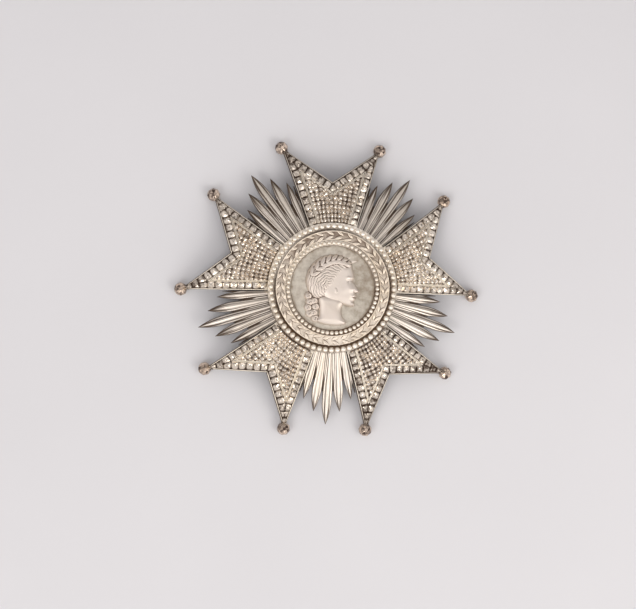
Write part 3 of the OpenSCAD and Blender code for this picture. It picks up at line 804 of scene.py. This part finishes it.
# Outlines of the head, as in the part's source: thirds of a face, clockwise, each row an x and a y
FACE_LINE = [(1, 1.75), (1.32, 1.6), (1.46, 1.2), (1.54, 0.74), (1.48, 0.5), (1.7, 0.12), (1.92, -0.2),
             (1.84, -0.33), (1.64, -0.37), (1.74, -0.57), (1.64, -0.67), (1.69, -0.79), (1.56, -0.93),
             (1.62, -1.15), (1.42, -1.34), (0.95, -1.26), (0.4, -1.1), (-0.4, -0.9), (-0.9, -0.3),
             (-0.9, 0.9), (0, 1.9)]
HAIR_LINE = [(-0.75, 2.26), (0.12, 2.38), (0.9, 2.14), (1.34, 1.68), (1.12, 1.34), (0.78, 0.92),
             (0.46, 0.5), (0.2, 0), (-0.2, -0.35), (-0.7, -0.7), (-1.25, -0.82), (-1.72, -0.4),
             (-1.98, 0.4), (-1.86, 1.15), (-1.42, 1.82)]
NECK_LINE = [(0.8, -0.9), (0.66, -1.5), (0.72, -2), (0.98, -2.58), (0, -2.7), (-1.1, -2.46), (-0.98, -1.9),
             (-1.02, -1.2), (-1, -0.6), (-0.1, -0.5)]
# Soft forms on the face and on the neck: from x, y to x, y, then width, all in thirds, and height in mm
FACE_FORMS = [(1, 0.76, 1.42, 0.74, 0.1, 0.16), (1.12, 0.5, 1.34, 0.5, 0.12, -0.26),
              (1.17, 0.46, 1.27, 0.46, 0.075, 0.24), (1.06, 0.55, 1.34, 0.57, 0.03, 0.1),
              (0.75, -0.15, 0.95, 0, 0.3, 0.14), (1.5, 0.35, 1.8, -0.18, 0.07, 0.1),
              (1.62, -0.25, 1.68, -0.27, 0.07, 0.2), (1.5, -0.12, 1.54, -0.33, 0.05, -0.14),
              (1.46, -0.66, 1.72, -0.68, 0.03, -0.22), (1.54, -0.57, 1.66, -0.57, 0.05, 0.12),
              (1.52, -0.79, 1.64, -0.79, 0.06, 0.14), (1.38, -0.95, 1.56, -0.95, 0.06, -0.12),
              (1.4, -1.14, 1.52, -1.16, 0.12, 0.14), (0.35, -0.85, 1.2, -1.14, 0.12, 0.1),
              (0.16, -0.1, 0.2, -0.28, 0.07, 0.25)]
NECK_FORM = (-0.6, -1, 0.5, -2.2, 0.3, 0.07)
CURLS = [(-1.3, -0.95), (-1.72, -0.6)]


def rounded(outline, steps=6):
    """A smooth closed curve through an outline, in millimetres."""
    n = len(outline)
    curve = []
    for i in range(n):
        p = [np.array(outline[(i + k - 1) % n]) * THIRD for k in range(4)]
        for step in range(steps):
            t = step / steps
            curve.append(0.5 * (2 * p[1] + (p[2] - p[0]) * t + (2 * p[0] - 5 * p[1] + 4 * p[2] - p[3]) * t**2
                                + (3 * p[1] - p[0] - 3 * p[2] + p[3]) * t**3))
    return np.array(curve)


def inset(x, y, curve):
    """Distance inside a closed curve, negative outside it."""
    nearest = np.full(x.shape, 1e9)
    inside = np.zeros(x.shape, bool)
    for a, b in zip(curve, np.roll(curve, -1, axis=0)):
        edge = b - a
        t = np.clip(((x - a[0]) * edge[0] + (y - a[1]) * edge[1]) / (edge @ edge), 0, 1)
        nearest = np.minimum(nearest, np.hypot(x - a[0] - t * edge[0], y - a[1] - t * edge[1]))
        if a[1] != b[1]:
            inside ^= ((a[1] > y) != (b[1] > y)) & (x < (b[0] - a[0]) * (y - a[1]) / (b[1] - a[1]) + a[0])
    return np.where(inside, nearest, -nearest)


def swell(d, width):
    """Share of full height at a distance inside an outline: a quarter round, then level."""
    return np.where(d > 0, np.sqrt(1 - (1 - np.clip(d / width, 0, 1)) ** 2), np.maximum(d, -0.3))


def ridge(x, y, row):
    """A soft ridge or hollow along a short line."""
    ax, ay, bx, by, width, height = (value * THIRD for value in row)
    edge = np.array([bx - ax, by - ay])
    t = np.clip(((x - ax) * edge[0] + (y - ay) * edge[1]) / (edge @ edge), 0, 1)
    d = np.hypot(x - ax - t * edge[0], y - ay - t * edge[1])
    return height / THIRD * np.exp(-((d / width) ** 2))


def bow(a, b, c, f):
    """The point a share of the way along a curve from a to c that bends towards b."""
    a, b, c = np.array(a), np.array(b), np.array(c)
    return mix(mix(a, b, f), mix(b, c, f), f)


def leaf_on(x, y, stem, angle, length, width):
    """Height of a pointed leaf with a midrib over its bed, negative outside it."""
    u = ((x - stem[0]) * math.cos(angle) + (y - stem[1]) * math.sin(angle)) / length
    v = np.abs((y - stem[1]) * math.cos(angle) - (x - stem[0]) * math.sin(angle))
    half = width / 2 * np.sin(np.pi * np.clip(u, 0, 1) ** 0.8)
    rise = 0.42 * np.sqrt(np.clip(1 - v / np.maximum(half, 1e-6), 0, 1))
    rise = rise * (1 - 0.45 * np.exp(-((v / 0.09) ** 2)))
    return np.where((u > 0) & (u < 1) & (v < half), rise, -1)


def relief():
    """Height of the head over its disc and its recess, on a fine square grid."""
    x, y = np.meshgrid(np.arange(*RELIEF_X, RELIEF_STEP), np.arange(*RELIEF_Y, RELIEF_STEP))
    face = 0.85 * RELIEF_H * swell(inset(x, y, rounded(FACE_LINE)), 2.4)
    for row in FACE_FORMS:
        face = face + ridge(x, y, row)
    neck = 0.66 * RELIEF_H * swell(inset(x, y, rounded(NECK_LINE)), 2.0) + ridge(x, y, NECK_FORM)
    deep = inset(x, y, rounded(HAIR_LINE))
    # Strands run round a point behind the ear, in waves
    cx, cy = x / THIRD + 0.25, y / THIRD - 0.15
    turn = np.arctan2(cy, cx)
    out = np.hypot(cx, cy)
    strand = out - 0.1 * turn + 0.035 * np.sin(7 * turn + 4 * out) + 0.02 * np.sin(15 * turn - 9 * out)
    lock = np.abs(np.sin(np.pi * strand / 0.19)) ** 0.7 * (0.85 + 0.15 * np.sin(5 * turn + 12 * out))
    fine = np.sin(2 * np.pi * strand / 0.065 + 2.5 * np.sin(4 * turn + 3 * out))
    body = RELIEF_H * 0.82 * swell(deep, 2.6)
    hair = body + np.clip(deep / 0.6, 0, 1) * (0.24 * lock + 0.05 * fine)
    height = np.maximum(np.maximum(face, neck), hair)
    # Ringlets
    for number, (sx, sy) in enumerate(CURLS):
        for k in range(4):
            px, py = (sx + (k % 2) * 0.12 - 0.06) * THIRD, (sy - 0.42 * k) * THIRD
            r = np.hypot(x - px, y - py) / (0.3 * THIRD)
            around = np.arctan2(y - py, x - px)
            ball = RELIEF_H * (0.6 - 0.06 * k) * np.sqrt(np.clip(1 - r * r, 0, 1))
            ball = np.where(r < 1, ball + 0.16 * np.sin(2 * around + 9 * r + number) * (1 - r), -1)
            height = np.maximum(height, ball)
    # Wreath
    a, b, c = (-1.75 * THIRD, 0.7 * THIRD), (-0.4 * THIRD, 2.62 * THIRD), (1.25 * THIRD, 1.72 * THIRD)
    for k in range(8):
        f = (k + 0.3) / 8
        stem = bow(a, b, c, f)
        way = bow(a, b, c, f + 0.02) - bow(a, b, c, f - 0.02)
        for side in (-1, 1):
            angle = math.atan2(way[1], way[0]) + math.radians(side * 30)
            tuft = leaf_on(x, y, stem, angle, 0.8 * THIRD, 0.29 * THIRD)
            height = np.where(tuft > -0.5, np.maximum(height, body + 0.26 + tuft), height)
    # What lies lower than its surroundings is dirty
    blurred = height
    for reach in (1, 2, 3):
        moved = [np.roll(blurred, way, axis) for axis in (0, 1) for way in (reach, -reach)]
        blurred = sum(moved, blurred) / 5
    recess = np.clip(0.28 + (blurred - height) / 0.17, 0, 1.1)
    return x, y, height, recess


def medallion(materials):
    """The satin disc and the head in relief."""
    shell = Shell()
    top = RING_BOTTOM + DISC_T
    shell.lathe([(0.01, RING_BOTTOM, 1), (DISC_R, RING_BOTTOM, 1), (DISC_R, top - 0.08, 0.9),
                 (DISC_R - 0.08, top, 0.5), (DISC_R - 0.8, top, 0.25), (0.01, top, 0.2)])
    # Darker towards the right
    shell.darken_towards(82, DISC_R, 0.3, 3)
    x, y, height, recess = relief()
    rows, columns = x.shape
    points = [(x[i, j], y[i, j], max(-RELIEF_SINK, height[i, j]) + top, recess[i, j])
              for i in range(rows) for j in range(columns)]
    shown = height > 0
    facets = []
    for i in range(rows - 1):
        for j in range(columns - 1):
            if shown[i:i + 2, j:j + 2].any():
                k = i * columns + j
                facets.append([points[k], points[k + 1], points[k + columns + 1], points[k + columns]])
    shell.solid(facets, floor=top - RELIEF_FLOOR, smooth=True, material=1)
    shell.object("medallion_fine", materials, "satin_silver", "medallion")


def linear(colour):
    """A colour given in 0 to 255 as the screen shows it, in linear light."""
    shares = [c / 255 for c in colour]
    return (*[c / 12.92 if c <= 0.04045 else ((c + 0.055) / 1.055) ** 2.4 for c in shares], 1)


def feed(tree, node, inputs):
    """The node, with its inputs linked to another node's output or set to a value."""
    for key, value in inputs.items():
        if isinstance(value, bpy.types.NodeSocket):
            tree.links.new(value, node.inputs[key])
        else:
            node.inputs[key].default_value = value
    return node


def attribute(tree, name):
    """What the mesh carries under a name."""
    node = tree.nodes.new("ShaderNodeAttribute")
    node.attribute_name = name
    return node.outputs["Fac"]


def noise(tree, place, scale, detail):
    """Soft noise at a place."""
    node = tree.nodes.new("ShaderNodeTexNoise")
    return feed(tree, node, {"Vector": place, "Scale": scale, "Detail": detail}).outputs["Fac"]


def maths(tree, operation, *values):
    """The result of an operation on values."""
    node = tree.nodes.new("ShaderNodeMath")
    node.operation = operation
    return feed(tree, node, dict(enumerate(values))).outputs[0]


def fitted(tree, value, low, high, new_low=0, new_high=1, kind="LINEAR"):
    """A value whose range is taken to another."""
    node = tree.nodes.new("ShaderNodeMapRange")
    node.interpolation_type = kind
    ends = {"From Min": low, "From Max": high, "To Min": new_low, "To Max": new_high}
    return feed(tree, node, {"Value": value, **ends}).outputs["Result"]


def ramp(tree, value, low, low_colour, high, high_colour):
    """A colour that runs from one to another as a value grows."""
    node = tree.nodes.new("ShaderNodeValToRGB")
    first, second = node.color_ramp.elements
    first.position = low
    first.color = low_colour
    second.position = high
    second.color = high_colour
    return feed(tree, node, {"Fac": value}).outputs["Color"]


def mixed(tree, factor, a, b, data="RGBA", blend="MIX"):
    """Two colours or numbers, mixed."""
    node = tree.nodes.new("ShaderNodeMix")
    node.data_type = data
    node.blend_type = blend
    return feed(tree, node, {"Factor": factor, "A": a, "B": b}).outputs["Result"]


def metal(name, crest, groove, rough, span, grain=220, bump=0.15, mottle=0.25, stain=(0.84, 0.81, 0.76),
          facet=0):
    """A tarnished metal, bright on its crests and brown in its recesses, with facets that differ.

    Rough is the roughness of crest and groove, and span is the depths where the dirt and painted shade start
    and are full."""
    material = bpy.data.materials.new(name)
    material.use_nodes = True
    tree = material.node_tree
    place = tree.nodes.new("ShaderNodeTexCoord").outputs["Object"]
    # Dirt lies where the point's value plus a share of the noise is deep; on some pieces that value also
    # carries painted shade and painted highlights
    depth = maths(tree, "MULTIPLY_ADD", noise(tree, place, grain, 4), mottle, attribute(tree, "recess"))
    if facet:
        depth = maths(tree, "MULTIPLY_ADD", attribute(tree, "shade"), facet, depth)
    shift = (mottle + facet) / 2
    deep = fitted(tree, depth, span[0] + shift, span[1] + shift, kind="SMOOTHSTEP")
    tint = mixed(tree, deep, linear(crest), linear(groove))
    # Warm and cool clouds of tarnish
    clouds = noise(tree, place, grain / 6, 3)
    tone = ramp(tree, clouds, 0.35, (*stain, 1), 0.65, (1, 1, 1, 1))
    dull = fitted(tree, deep, 0, 1, *rough)
    # Pits, and finer dents over them
    pits = feed(tree, tree.nodes.new("ShaderNodeBump"), {
        "Strength": min(1, bump * 3), "Distance": 0.00016, "Height": noise(tree, place, grain * 5, 2)})
    dents = feed(tree, tree.nodes.new("ShaderNodeBump"), {
        "Strength": bump, "Distance": 0.0001, "Height": noise(tree, place, grain * 12, 3),
        "Normal": pits.outputs["Normal"]})
    feed(tree, tree.nodes["Principled BSDF"], {
        "Base Color": mixed(tree, 1, tint, tone, blend="MULTIPLY"),
        "Roughness": maths(tree, "MULTIPLY_ADD", clouds, 0.12, dull),
        "Metallic": fitted(tree, deep, 0, 1, 1, 0.3),
        "Normal": dents.outputs["Normal"]})
    return material


cut_silver = metal("cut silver", (236, 227, 215), (80, 60, 44), (0.1, 0.5), (0.42, 0.98),
                   grain=500, bump=0.04, mottle=0.5, stain=(0.86, 0.83, 0.8), facet=0.26)
border_silver = metal("border silver", (242, 232, 218), (70, 51, 36), (0.08, 0.5), (0.3, 0.9),
                      grain=700, bump=0.04, mottle=0.7, stain=(0.86, 0.83, 0.8), facet=0.42)
line_silver = metal("line silver", (246, 237, 222), (76, 58, 44), (0.34, 0.5), (0.45, 1.15))
ball_silver = metal("ball silver", (234, 214, 196), (64, 45, 34), (0.05, 0.35), (-0.04, 0.6),
                    grain=900, bump=0.04, mottle=1.2, facet=0.6)
ray_silver = metal("ray silver", (240, 231, 220), (78, 61, 46), (0.32, 0.5), (0.2, 1.1),
                   grain=400, bump=0.05)
bead_silver = metal("bead silver", (254, 246, 234), (108, 84, 62), (0.34, 0.5), (0.5, 1.15),
                    bump=0.06, mottle=0.5)
satin_silver = metal("satin silver", (248, 236, 220), (100, 74, 54), (0.32, 0.5), (0.45, 1.5),
                     grain=700, mottle=0.9)
disc_silver = metal("disc silver", (214, 206, 193), (140, 122, 102), (0.42, 0.6), (0, 0.85),
                    grain=700, bump=0.12, mottle=0.9, stain=(0.95, 0.96, 0.955))
head_silver = metal("head silver", (238, 228, 219), (92, 72, 58), (0.44, 0.6), (0.32, 0.95), bump=0.06)
dark_silver = metal("dark silver", (176, 164, 150), (84, 70, 58), (0.35, 0.6), (0.3, 1))

for index in range(1, ARM_COUNT + 1):
    arm(index, [cut_silver, line_silver, ball_silver, border_silver])
ray_plate([ray_silver, dark_silver])
setting([bead_silver])
bead_ring([bead_silver])
laurel([satin_silver])
medallion([disc_silver, head_silver])

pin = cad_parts["back_pin"]
pin.data.materials.clear()
pin.data.materials.append(dark_silver)


# Floor, whose size is in metres
FLOOR_HALF = 12
corners = [(x * FLOOR_HALF, y * FLOOR_HALF, 0) for x, y in ((-1, -1), (1, -1), (1, 1), (-1, 1))]
mesh = bpy.data.meshes.new("floor")
mesh.from_pydata(corners, [], [[0, 1, 2, 3]])
floor = bpy.data.objects.new("floor", mesh)
bpy.context.scene.collection.objects.link(floor)
paper = bpy.data.materials.new("paper")
paper.use_nodes = True
tree = paper.node_tree
patches = noise(tree, tree.nodes.new("ShaderNodeTexCoord").outputs["Object"], 14, 2)
grey = ramp(tree, patches, 0.3, (0.7, 0.69, 0.7, 1), 0.7, (0.72, 0.71, 0.72, 1))
feed(tree, tree.nodes["Principled BSDF"], {"Base Color": grey, "Roughness": 0.85})
mesh.materials.append(paper)


def lamp(name, place, width, height, power, colour):
    """A soft rectangular light at a place in metres, turned towards the star."""
    light = bpy.data.lights.new(name, "AREA")
    light.shape = "RECTANGLE"
    light.size = width
    light.size_y = height
    light.energy = power
    light.color = colour
    lamp_object = bpy.data.objects.new(name, light)
    lamp_object.location = place
    way = Vector() - Vector(place)
    lamp_object.rotation_mode = "QUATERNION"
    lamp_object.rotation_quaternion = way.to_track_quat("-Z", "Y")
    bpy.context.scene.collection.objects.link(lamp_object)


lamp("key", (0.42, -0.3, 0.5), 0.42, 0.42, 1.5, (1, 0.97, 0.93))
lamp("fill", (-0.45, -0.35, 0.6), 0.35, 0.35, 1.4, (1, 0.98, 0.96))
lamp("strip", (0, -0.6, 0.35), 0.7, 0.12, 0.35, (1, 1, 1))

world = bpy.data.worlds.new("studio")
bpy.context.scene.world = world
world.use_nodes = True
tree = world.node_tree
place = tree.nodes.new("ShaderNodeTexCoord").outputs["Generated"]
split = feed(tree, tree.nodes.new("ShaderNodeSeparateXYZ"), {"Vector": place}).outputs
# The room is brighter towards the lower edge of the picture, and patchy as a furnished room is
lean = fitted(tree, split["Y"], -0.9, 0.9, 1.08, 0.82)
patchy = fitted(tree, noise(tree, place, 3.4, 3), 0.43, 0.6, 0.12, 1.5)
# Near the horizon it is plain
height = fitted(tree, split["Z"], 0.2, 0.5)
plain = mixed(tree, height, 0.85, patchy, data="FLOAT")
strength = maths(tree, "MULTIPLY", lean, plain)
feed(tree, tree.nodes["Background"], {"Color": (0.95, 0.92, 0.93, 1), "Strength": strength})

# Camera, tilted towards the star's left and rolled a little, as the photo was taken
TILT = math.radians(7.9)
ROLL = math.radians(1.3)
# In metres: the camera's distance, a pixel's width at the star, and the height on the star's axis aimed by
DISTANCE = 0.6
PIXEL = 0.000293
AIM_Z = 0.0017
# In pixels: the photo's width, and how far that point lies right of and above the photo's centre
PHOTO_W = 636
OFF_RIGHT = 9.6
OFF_UP = 16.4
SENSOR_W = 36
back = Vector((-math.sin(TILT), 0, math.cos(TILT)))
across = Vector((math.cos(TILT), 0, math.sin(TILT)))
upward = Vector((0, 1, 0))
right = across * math.cos(ROLL) + upward * math.sin(ROLL)
up = upward * math.cos(ROLL) - across * math.sin(ROLL)
aim = Vector((0, 0, AIM_Z)) - right * OFF_RIGHT * PIXEL - up * OFF_UP * PIXEL
camera_data = bpy.data.cameras.new("camera")
camera_data.sensor_width = SENSOR_W
camera_data.lens = SENSOR_W * DISTANCE / (PHOTO_W * PIXEL)
camera_data.clip_start = 0.01
camera_data.clip_end = 20
camera = bpy.data.objects.new("camera", camera_data)
camera.rotation_mode = "QUATERNION"
camera.rotation_quaternion = Matrix((right, up, back)).transposed().to_quaternion()
camera.location = aim + back * DISTANCE
bpy.context.scene.collection.objects.link(camera)
bpy.context.scene.camera = camera
bpy.context.scene.view_settings.view_transform = "Standard"
